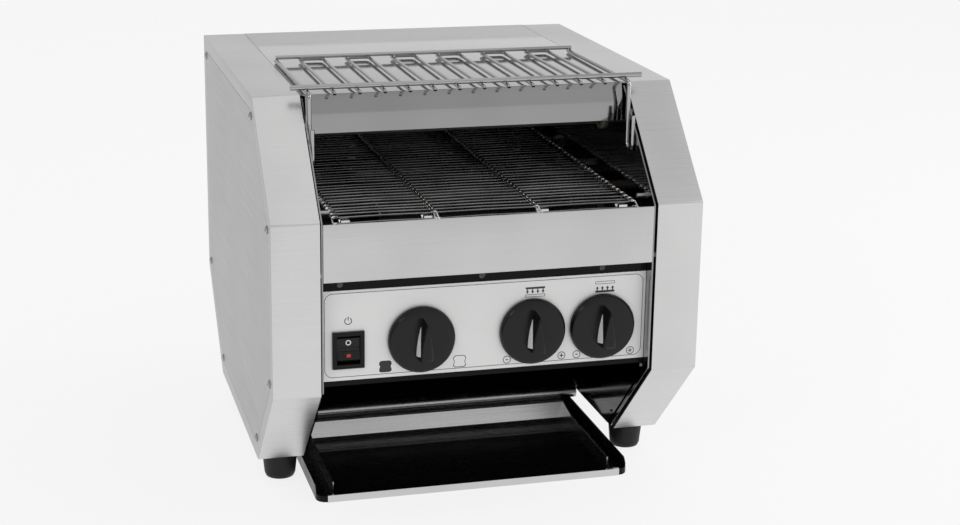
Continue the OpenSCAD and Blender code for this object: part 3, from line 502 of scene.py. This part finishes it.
def evaluated_mesh(obj):
    """An object's mesh once its bevel or modifiers are applied."""
    bpy.context.view_layer.update()
    return bpy.data.meshes.new_from_object(
        obj.evaluated_get(bpy.context.evaluated_depsgraph_get()))


def tube_mesh(name, points, diameter):
    """A round wire along points in millimetres, as a mesh in metres."""
    curve = bpy.data.curves.new(name, "CURVE")
    curve.dimensions = "3D"
    curve.bevel_depth = diameter * MM / 2
    curve.bevel_resolution = 2
    curve.use_fill_caps = True
    spline = curve.splines.new("POLY")
    spline.points.add(len(points) - 1)
    for target, point in zip(spline.points, points):
        target.co = (*(Vector(point) * MM), 1.0)
    holder = new_object(name, curve)
    mesh = evaluated_mesh(holder)
    bpy.data.objects.remove(holder)
    bpy.data.curves.remove(curve)
    for polygon in mesh.polygons:
        polygon.use_smooth = True
    return mesh


def repeater(name):
    """Geometry Nodes tree: sets a pattern at each point by the point's own turn and some jitter."""
    tree = bpy.data.node_groups.new(name, "GeometryNodeTree")
    for socket, kind in (("Geometry", "Geometry"), ("Pattern", "Object"),
                         ("Finish", "Material"), ("Jitter", "Float")):
        tree.interface.new_socket(socket, in_out="INPUT", socket_type=f"NodeSocket{kind}")
    tree.interface.new_socket("Geometry", in_out="OUTPUT", socket_type="NodeSocketGeometry")
    nodes, links = tree.nodes, tree.links
    entry = nodes.new("NodeGroupInput")
    leave = nodes.new("NodeGroupOutput")
    pattern = nodes.new("GeometryNodeObjectInfo")
    turn = nodes.new("GeometryNodeInputNamedAttribute")
    turn.data_type = "FLOAT_VECTOR"
    turn.inputs["Name"].default_value = "turn"
    shake = nodes.new("FunctionNodeRandomValue")
    shake.data_type = "FLOAT_VECTOR"
    shake.inputs["Min"].default_value = (-1.0, -1.0, -1.0)
    shake.inputs["Max"].default_value = (1.0, 1.0, 1.0)
    shake.inputs["Seed"].default_value = JITTER_SEED
    scaled = nodes.new("ShaderNodeVectorMath")
    scaled.operation = "SCALE"
    summed = nodes.new("ShaderNodeVectorMath")
    place = nodes.new("GeometryNodeInstanceOnPoints")
    realize = nodes.new("GeometryNodeRealizeInstances")
    coat = nodes.new("GeometryNodeSetMaterial")
    links.new(entry.outputs["Geometry"], place.inputs["Points"])
    links.new(entry.outputs["Pattern"], pattern.inputs["Object"])
    links.new(pattern.outputs["Geometry"], place.inputs["Instance"])
    links.new(shake.outputs["Value"], scaled.inputs[0])
    links.new(entry.outputs["Jitter"], scaled.inputs["Scale"])
    links.new(turn.outputs["Attribute"], summed.inputs[0])
    links.new(scaled.outputs["Vector"], summed.inputs[1])
    links.new(summed.outputs["Vector"], place.inputs["Rotation"])
    links.new(place.outputs["Instances"], realize.inputs["Geometry"])
    links.new(realize.outputs["Geometry"], coat.inputs["Geometry"])
    links.new(entry.outputs["Finish"], coat.inputs["Material"])
    links.new(coat.outputs["Geometry"], leave.inputs["Geometry"])
    return tree


REPEATER = repeater("set_along")


def repeated_mesh(name, pattern_mesh, stations, finish, jitter=0.0):
    """Copies of a pattern mesh at stations of (point in metres, turn), as one plain mesh."""
    carrier_mesh = bpy.data.meshes.new(f"{name}_points")
    carrier_mesh.from_pydata([tuple(point) for point, _ in stations], [], [])
    turns = carrier_mesh.attributes.new("turn", "FLOAT_VECTOR", "POINT")
    for item, (_, turn) in zip(turns.data, stations):
        item.vector = turn
    pattern = new_object(f"{name}_pattern", pattern_mesh)
    carrier = new_object(f"{name}_points", carrier_mesh)
    modifier = carrier.modifiers.new("Repeat", "NODES")
    modifier.node_group = REPEATER
    keys = {s.name: s.identifier for s in REPEATER.interface.items_tree if s.in_out == "INPUT"}
    modifier[keys["Pattern"]] = pattern
    modifier[keys["Finish"]] = FINISHES[finish]
    modifier[keys["Jitter"]] = jitter
    mesh = evaluated_mesh(carrier)
    bpy.data.objects.remove(carrier)
    bpy.data.objects.remove(pattern)
    mesh.name = name
    return mesh


def wire_belt():
    """The wire belt, one hooked strand at each station of its loop."""
    step = 2 * (BELT_SPAN + BELT_HALF_TURN) / BELT_STRANDS
    strand = tube_mesh("strand", strand_path(step), STRAND_D)
    mesh = repeated_mesh("wire_belt", strand, list(belt_stations()), "belt_wire", STRAND_JITTER)
    add_piece("wire_belt", mesh, "belt_wire", replaces=("belt",))


# ---------------------------------------------------------------- knobs

GRIP_HEIGHT = 18.0
GRIP_LOW = 13.5       # foot of the grip below the knob's middle
GRIP_LENGTH = 33.5
GRIP_WIDTH = 12.5
GRIP_DRAFT = 1.1
GRIP_SINK = 1.0       # the grip starts this far inside the disc
FOOT_DRAFT = 0.4
FOOT_INSET, LENGTH_INSET = 0.6, 1.8   # the foot's and the length's part of the crest's inset
CREST_ROUNDING = (    # (share of the grip's height, inset)
    (0.2, 0.0), (0.5, 0.0), (0.82, 0.0), (0.89, 0.18), (0.95, 0.6), (0.985, 1.3), (1.0, 2.2))
KNOB_SMOOTH_DEGREES = 32.0
DOME = 1.6
# The disc's profile: (distance in from the rim, distance back from the knob's back or disc face)
DISC_BACK = ((5.0, -4.0), (5.0, 0.0), (0.6, 0.0), (0.0, -0.5), (0.0, -2.6), (0.3, -3.2))
DISC_FACE = ((0.5, 2.0), (0.8, 1.4), (2.0, 0.2), (2.6, 0.0), (9.0, -0.4 * DOME), (17.0, -0.8 * DOME))
POINTER_LOW, POINTER_HIGH, POINTER_STEPS = -11.6, 12.9, 22
POINTER_START, POINTER_REACH = 0.14, 0.62   # shares of the grip's height
POINTER_LEAST = 0.015                       # its width at the tip, as such a share
POINTER_FOOT, POINTER_OPENING = 0.15, 9.0   # part of its width at the foot, and the gain per length
POINTER_TAPER = 1.8                         # exponent of its narrowing towards the tip
POINTER_PROUD, POINTER_DEPTH = 0.12, 0.5


def grip_half_width(z, height_share):
    """Half width of the grip at height z on the knob: widest at its foot, pointed at its top."""
    width = GRIP_WIDTH - 2 * GRIP_DRAFT * height_share
    length = GRIP_LENGTH - GRIP_DRAFT * height_share
    radius = (width * width / 4 + length * length) / width
    up = min(max(z + GRIP_LOW, 0.0), length)
    return max(width / 2 - (radius - math.sqrt(radius * radius - up * up)), 0.0)


def grip_outline(height_share, inset, steps=12):
    """Outline of the grip at a share of its height, drawn in by inset where the crest is rounded."""
    tip = GRIP_LENGTH - GRIP_LOW - GRIP_DRAFT * height_share
    low = -GRIP_LOW + FOOT_DRAFT * height_share
    levels = [low + (tip - low) * math.sin(math.pi / 2 * i / steps) for i in range(steps + 1)]
    narrow = 1.0 - 2.0 * inset / GRIP_WIDTH
    shorter = 1.0 - LENGTH_INSET * inset / (tip - low)
    foot = low + FOOT_INSET * inset
    right = [(grip_half_width(z, height_share) * narrow, foot + (z - low) * shorter)
             for z in levels[:-1]]
    crown = (0.0, foot + (tip - low) * shorter)
    return right + [crown] + [(-x, z) for x, z in reversed(right)]


def lathe(bm, profile, centre, steps=96):
    """Turns a profile of (radius, Y) about the Y axis through centre; closed at both ends."""
    rings = []
    for radius, y in profile:
        turns = [2 * math.pi * i / steps for i in range(steps if radius else 1)]
        rings.append([bm.verts.new(at(centre.x + radius * math.cos(turn), y,
                                      centre.z + radius * math.sin(turn))) for turn in turns])
    for near, far in zip(rings, rings[1:]):
        for i in range(steps):
            j = (i + 1) % steps
            corners = []
            for vert in (near[i % len(near)], near[j % len(near)],
                         far[j % len(far)], far[i % len(far)]):
                if vert not in corners:
                    corners.append(vert)
            if len(corners) > 2:
                bm.faces.new(corners)


def grip(bm, centre, face_y):
    """The raised grip: an upright wing with a flat foot, a pointed top and a rounded crest."""
    def ring(height_share, y, inset=0.0):
        """The vertices of one level of the grip."""
        return [bm.verts.new(at(centre.x + x, y, centre.z + z))
                for x, z in grip_outline(height_share, inset)]

    rings = [ring(0.0, face_y + GRIP_SINK)]
    for share, inset in CREST_ROUNDING:
        rings.append(ring(share, face_y - GRIP_HEIGHT * share, inset))
    count = len(rings[0])
    for low, high in zip(rings, rings[1:]):
        for i in range(count):
            bm.faces.new((low[i], low[(i + 1) % count], high[(i + 1) % count], high[i]))
    bm.faces.new(rings[-1])
    bm.faces.new(list(reversed(rings[0])))


def pointer_inlay(centre, face_y):
    """White lens let into the grip's left flank: pointed at the top, full at its lower end."""
    bm = bmesh.new()
    front, back = [], []
    for i in range(POINTER_STEPS + 1):
        along = i / POINTER_STEPS
        z = POINTER_LOW + (POINTER_HIGH - POINTER_LOW) * along
        opened = min(1.0, POINTER_OPENING * along + POINTER_FOOT)
        width = POINTER_REACH * opened * (1.0 - along ** POINTER_TAPER) + POINTER_LEAST
        pair = [(-grip_half_width(z, share) - POINTER_PROUD, face_y - GRIP_HEIGHT * share)
                for share in (POINTER_START, POINTER_START + width)]
        for side, depth in ((front, 0.0), (back, POINTER_DEPTH)):
            side.append([bm.verts.new(at(centre.x + x + depth, y, centre.z + z)) for x, y in pair])
    for i in range(POINTER_STEPS):
        bm.faces.new((front[i][0], front[i][1], front[i + 1][1], front[i + 1][0]))
        bm.faces.new((back[i][1], back[i][0], back[i + 1][0], back[i + 1][1]))
        for k in (0, 1):
            bm.faces.new((front[i][k], front[i + 1][k], back[i + 1][k], back[i][k]))
    bm.faces.new((front[0][0], front[0][1], back[0][1], back[0][0]))
    bm.faces.new((front[-1][1], front[-1][0], back[-1][0], back[-1][1]))
    bmesh.ops.recalc_face_normals(bm, faces=bm.faces)
    return finish_bmesh(bm, "pointer")


def control_knob(node, body):
    """A knob: stepped disc with a rounded rim, hollow back, grip and pointer."""
    centre = middle_of(node)
    low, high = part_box(node)
    back = (high[1] - CASING_LOW[1]) / MM
    face = (low[1] - CASING_LOW[1]) / MM + GRIP_HEIGHT
    profile = [(0.0, back + DISC_BACK[0][1])]
    profile += [(KNOB_RADIUS - inwards, back + y) for inwards, y in DISC_BACK]
    profile += [(KNOB_RADIUS - inwards, face + y) for inwards, y in DISC_FACE]
    profile += [(0.0, face - DOME)]
    bm = bmesh.new()
    lathe(bm, profile, centre)
    grip(bm, centre, face)
    bmesh.ops.recalc_face_normals(bm, faces=bm.faces)
    add_piece(f"{node}_moulded", finish_bmesh(bm, node, KNOB_SMOOTH_DEGREES), "knob_plastic",
              body=body, replaces=(node,))
    add_piece(f"{node}_pointer", pointer_inlay(centre, face), "white_ink",
              body=body)


# ---------------------------------------------------------------- printed marks

INK = 0.06            # thickness of a printed mark
INK_GAP = 0.02        # between the label and a mark
BORDER_INSET, BORDER_LINE, BORDER_RADIUS = 0.5, 0.45, 7.0
# X and Z from the speed knob's middle, and size
DARK_SLICE = (-30.5, -22.0, 10.8)
PALE_SLICE = (33.5, -22.4, 11.2)
PALE_SLICE_HOLE = 0.9   # size of its opening, as a share of its own
# Below each heat knob: X of a ring from the knob's middle, and its sign's (Z, width, height) bars
SIGNS = (
    (-21.5, ((0.0, 2.2, 0.8),)),
    (27.0, ((0.0, 3.6, 0.8), (1.15, 0.8, 1.4), (-1.15, 0.8, 1.4))),
)
SIGN_Z = -24.6
RING_OUTER, RING_INNER = 3.5, 2.9
# Above each heat knob: Z of the heater's bar, the slice and the arrows, and the arrows' turn
HEAT_MARKS = {
    "upper_heat_knob": (37.5, 30.8, 34.7, math.pi),
    "lower_heat_knob": (30.4, 38.2, 33.1, 0.0),
}
HEAT_X = 2.2          # right of the knob's middle
HEATER_BAR = (17.0, 1.7)
FLAT_SLICE, FLAT_SLICE_HOLE = (17.4, 2.4), (16.6, 1.6)
ARROWS, ARROW_PITCH = 4, 4.6
ARROW = ((-0.5, -1.8), (0.5, -1.8), (0.5, -0.1), (1.4, -0.1), (0.0, 2.0), (-1.4, -0.1), (-0.5, -0.1))
POWER_Z = 25.0        # above the switch's middle
POWER_ARC = (24, 120.0, 300.0)   # steps, then start and sweep in degrees
POWER_OUTER, POWER_INNER = 3.2, 2.5
POWER_BAR = (2.2, 0.7, 3.4)      # Z, width and height
ROCKER_PIVOT = 6.0    # behind the label's face
ROCKER_FACE = 6.5     # in front of the pivot
ROCKER_LEAN = -16.0   # degrees, of the raised half; the pressed half is upright
ROCKER_GAP, ROCKER_INK = 0.03, 0.08
OFF_Z, OFF_OUTER, OFF_INNER = 6.4, 2.3, 1.5
ON_BAR = (-6.6, 3.4, 2.6)        # Z, width and height


def on_label(u, v, depth):
    """A point of a printed mark: u and v are X and Z, depth stands out of the label."""
    return at(u, LABEL_Y - INK_GAP - depth, v)


def slice_outline(x, z, size):
    """Outline of a slice of bread: two rounded shoulders, a waist and two smaller feet."""
    half = size / 2
    shoulder = size * 0.3
    curl = shoulder * 0.8
    foot = size * 0.2
    points = circle_points(x + half - foot, z - half + foot, foot, 6, -90.0, 130.0)
    for corner, start in ((x + half - curl, -50.0), (x - half + curl, 90.0)):
        points += circle_points(corner, z + half - shoulder, curl, 8, start, 140.0)
    return points + circle_points(x - half + foot, z - half + foot, foot, 6, 140.0, 130.0)


def shrink(outline, x, z, share):
    """An outline drawn in towards a point."""
    return [(x + (u - x) * share, z + (v - z) * share) for u, v in outline]


def rectangle(x, z, width, height):
    """Outline of a rectangle about its middle."""
    return [(x - width / 2, z - height / 2), (x + width / 2, z - height / 2),
            (x + width / 2, z + height / 2), (x - width / 2, z + height / 2)]


def rounded_rectangle(x, z, width, height, radius):
    """Outline of a rectangle with round corners, about its middle."""
    corners = []
    for right, up, start in ((1, 1, 0.0), (-1, 1, 90.0), (-1, -1, 180.0), (1, -1, 270.0)):
        corners += circle_points(x + right * (width / 2 - radius), z + up * (height / 2 - radius),
                                 radius, 8, start, 90.0)
    return corners


def label_marks():
    """Plain pictograms round the knobs: browning, less and more, heat from above and below."""
    bm = bmesh.new()

    def mark(outline, *holes):
        """Adds one mark to the label."""
        make_flat_solid(bm, outline, holes, on_label, INK)

    low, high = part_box("control_label")
    label = middle_of("control_label")
    width = (high[0] - low[0]) / MM - 2 * BORDER_INSET
    height = (high[2] - low[2]) / MM - 2 * BORDER_INSET
    mark(rounded_rectangle(label.x, label.z, width, height, BORDER_RADIUS),
         rounded_rectangle(label.x, label.z, width - 2 * BORDER_LINE, height - 2 * BORDER_LINE,
                           BORDER_RADIUS - BORDER_LINE))
    speed = middle_of("speed_knob")
    x, z, size = DARK_SLICE
    mark(slice_outline(speed.x + x, speed.z + z, size))
    x, z, size = PALE_SLICE
    pale = slice_outline(speed.x + x, speed.z + z, size)
    mark(pale, shrink(pale, speed.x + x, speed.z + z, PALE_SLICE_HOLE))
    for node in HEAT_MARKS:
        knob = middle_of(node)
        for side, bars in SIGNS:
            x, z = knob.x + side, knob.z + SIGN_Z
            mark(circle_points(x, z, RING_OUTER), circle_points(x, z, RING_INNER))
            for up, width, height in bars:
                mark(rectangle(x, z + up, width, height))
    for node, (bar_up, slice_up, _, _) in HEAT_MARKS.items():
        knob = middle_of(node)
        mark(rectangle(knob.x + HEAT_X, knob.z + bar_up, *HEATER_BAR))
        mark(rectangle(knob.x + HEAT_X, knob.z + slice_up, *FLAT_SLICE),
             rectangle(knob.x + HEAT_X, knob.z + slice_up, *FLAT_SLICE_HOLE))
    switch = middle_of("switch_body")
    x, z = switch.x, switch.z + POWER_Z
    inner = circle_points(x, z, POWER_INNER, *POWER_ARC)
    mark(circle_points(x, z, POWER_OUTER, *POWER_ARC) + inner[::-1])
    up, width, height = POWER_BAR
    mark(rectangle(x, z + up, width, height))
    add_piece("label_marks", finish_bmesh(bm, "label_marks"), "black_ink")


def heat_arrows():
    """The rows of arrows between heater and slice: down for upper heat, up for lower heat."""
    bm = bmesh.new()
    make_flat_solid(bm, ARROW, (), lambda u, v, d: Vector((u, -d, v)) * MM, INK)
    stations = []
    for node, (_, _, arrow_up, turn) in HEAT_MARKS.items():
        knob = middle_of(node)
        for i in range(ARROWS):
            x = knob.x + HEAT_X + (i - (ARROWS - 1) / 2) * ARROW_PITCH
            stations.append((at(x, LABEL_Y - INK_GAP, knob.z + arrow_up), (0.0, turn, 0.0)))
    mesh = repeated_mesh("heat_arrows", finish_bmesh(bm, "arrow"), stations, "black_ink")
    add_piece("heat_arrows", mesh, "black_ink")


def rocker_marks():
    """Off ring on the pressed half of the rocker and a red on bar on the raised half."""
    centre = middle_of("switch_body")

    def on_half(lean):
        """What places a mark on the half of the rocker that leans so many degrees."""
        cos, sin = math.cos(math.radians(lean)), math.sin(math.radians(lean))

        def place(u, v, depth):
            """A point of the mark: u is X, v runs up along the half, depth stands out of it."""
            y = -(ROCKER_FACE + ROCKER_GAP + depth)
            return at(centre.x + u, LABEL_Y + ROCKER_PIVOT + y * cos - v * sin,
                      centre.z + y * sin + v * cos)
        return place

    bm = bmesh.new()
    make_flat_solid(bm, circle_points(0.0, OFF_Z, OFF_OUTER), [circle_points(0.0, OFF_Z, OFF_INNER)],
                    on_half(0.0), ROCKER_INK)
    add_piece("rocker_off_mark", finish_bmesh(bm, "off"), "white_ink",
              body="rocker")
    bm = bmesh.new()
    make_flat_solid(bm, rectangle(0.0, *ON_BAR), (), on_half(ROCKER_LEAN), ROCKER_INK)
    add_piece("rocker_on_mark", finish_bmesh(bm, "on"), "red_lens",
              body="rocker")


# ---------------------------------------------------------------- stage

FLOOR_HALF_SIZE = 14.0
FLOOR_COLOR, FLOOR_ROUGHNESS = (0.9, 0.9, 0.9, 1.0), 0.85
FLOOR_WHITE = 0.82   # share of plain white in the floor as it is seen
# Between two parts of each axis, the surround's strength goes from the first value to the second
SURROUND = {"X": ((-0.6, 0.6), (0.5, 0.85)), "Z": ((0.3, 0.95), (1.0, 0.72))}
# Watts, then place, target and (width, height) in metres
LAMPS = {
    "overhead": (20.0, (-0.5, -0.9, 4.0), (-0.5, -0.9, 0.0), (3.4, 5.0)),
    "front_left": (8.0, (-1.9, -2.0, 1.9), (0.0, 0.0, 0.15), (0.5, 0.5)),
    "right_strip": (13.0, (2.3, -0.1, 1.0), (0.0, 0.0, 0.2), (0.3, 1.5)),
}
CAMERA_PLACE = (-401.0, -1381.0, 621.0)
CAMERA_PITCH, CAMERA_YAW, CAMERA_ROLL = -15.4, -14.2, 0.5   # degrees
CAMERA_SHIFT = (0.05, -0.039)   # shares of the picture's width
CAMERA_CLIP = (0.05, 60.0)      # metres
SENSOR_WIDTH = 36.0
FOCAL_PIXELS = 1818.0
PHOTO_WIDTH = 960.0             # pixels


def floor_paint():
    """Matt paint that camera, mirror and glass rays see mixed with plain white."""
    paint = bpy.data.materials.new("floor_paint")
    paint.use_nodes = True
    tree = paint.node_tree
    nodes, links = tree.nodes, tree.links
    shader = nodes["Principled BSDF"]
    shader.inputs["Base Color"].default_value = FLOOR_COLOR
    shader.inputs["Roughness"].default_value = FLOOR_ROUGHNESS
    seen = nodes.new("ShaderNodeLightPath").outputs
    direct = math_node(tree, "ADD", seen["Is Camera Ray"], seen["Is Glossy Ray"], clamp=True)
    shown = math_node(tree, "ADD", direct, seen["Is Transmission Ray"], clamp=True)
    white = nodes.new("ShaderNodeEmission")
    blend = nodes.new("ShaderNodeMixShader")
    links.new(math_node(tree, "MULTIPLY", shown, FLOOR_WHITE), blend.inputs["Fac"])
    links.new(shader.outputs["BSDF"], blend.inputs[1])
    links.new(white.outputs["Emission"], blend.inputs[2])
    links.new(blend.outputs["Shader"], nodes["Material Output"].inputs["Surface"])
    return paint


def studio_floor():
    """A wide flat floor."""
    bm = bmesh.new()
    bmesh.ops.create_grid(bm, x_segments=1, y_segments=1, size=FLOOR_HALF_SIZE)
    mesh = bpy.data.meshes.new("floor")
    bm.to_mesh(mesh)
    bm.free()
    mesh.materials.append(floor_paint())
    floor = new_object("floor", mesh)


def surround():
    """A soft surround that is darker to the left and overhead."""
    world = bpy.data.worlds.new("studio")
    bpy.context.scene.world = world
    world.use_nodes = True
    tree = world.node_tree
    coordinates = tree.nodes.new("ShaderNodeTexCoord")
    split = tree.nodes.new("ShaderNodeSeparateXYZ")
    tree.links.new(coordinates.outputs["Generated"], split.inputs["Vector"])
    ramps = [map_range(tree, split.outputs[axis], *spans) for axis, spans in SURROUND.items()]
    background = tree.nodes["Background"].inputs
    background["Color"].default_value = (1.0, 1.0, 1.0, 1.0)
    tree.links.new(math_node(tree, "MULTIPLY", *ramps), background["Strength"])


def lamps():
    """The soft lights."""
    for name, (watts, place, target, size) in LAMPS.items():
        data = bpy.data.lights.new(name, "AREA")
        data.energy = watts
        data.shape = "RECTANGLE"
        data.size, data.size_y = size
        lamp = new_object(name, data)
        lamp.location = place
        aim = Vector(target) - Vector(place)
        lamp.rotation_euler = aim.to_track_quat("-Z", "Y").to_euler()


def photo_camera():
    """The camera of the photograph: front left, a little above."""
    data = bpy.data.cameras.new("camera")
    data.sensor_width = SENSOR_WIDTH
    data.lens = FOCAL_PIXELS / PHOTO_WIDTH * SENSOR_WIDTH
    data.shift_x, data.shift_y = CAMERA_SHIFT
    data.clip_start, data.clip_end = CAMERA_CLIP
    camera = new_object("camera", data)
    turn = Matrix.Rotation(math.radians(CAMERA_YAW), 4, "Z")
    nod = Matrix.Rotation(math.radians(90.0 + CAMERA_PITCH), 4, "X")
    roll = Matrix.Rotation(math.radians(CAMERA_ROLL), 4, "Z")
    camera.matrix_world = Matrix.Translation(at(*CAMERA_PLACE)) @ turn @ nod @ roll
    bpy.context.scene.camera = camera


# ---------------------------------------------------------------- build

photo_camera()
studio_floor()
surround()
lamps()
bpy.context.scene.view_settings.view_transform = "Standard"
dress_nodes()
formed_sheet("left_casing", "band_steel", on_outer_corner, CASING_RADIUS)
formed_sheet("right_casing", "band_steel", on_outer_corner, CASING_RADIUS)
formed_sheet("top_cover", "hood_steel", on_long_fold, COVER_RADIUS)
formed_sheet("upper_front_panel", "brushed_steel", on_long_fold, PANEL_RADIUS)
wire_belt()
for knob_node, knob_body in (
    ("speed_knob", "speed_control_knob"),
    ("upper_heat_knob", "upper_heat_control_knob"),
    ("lower_heat_knob", "lower_heat_control_knob"),
):
    control_knob(knob_node, knob_body)
label_marks()
heat_arrows()
rocker_marks()
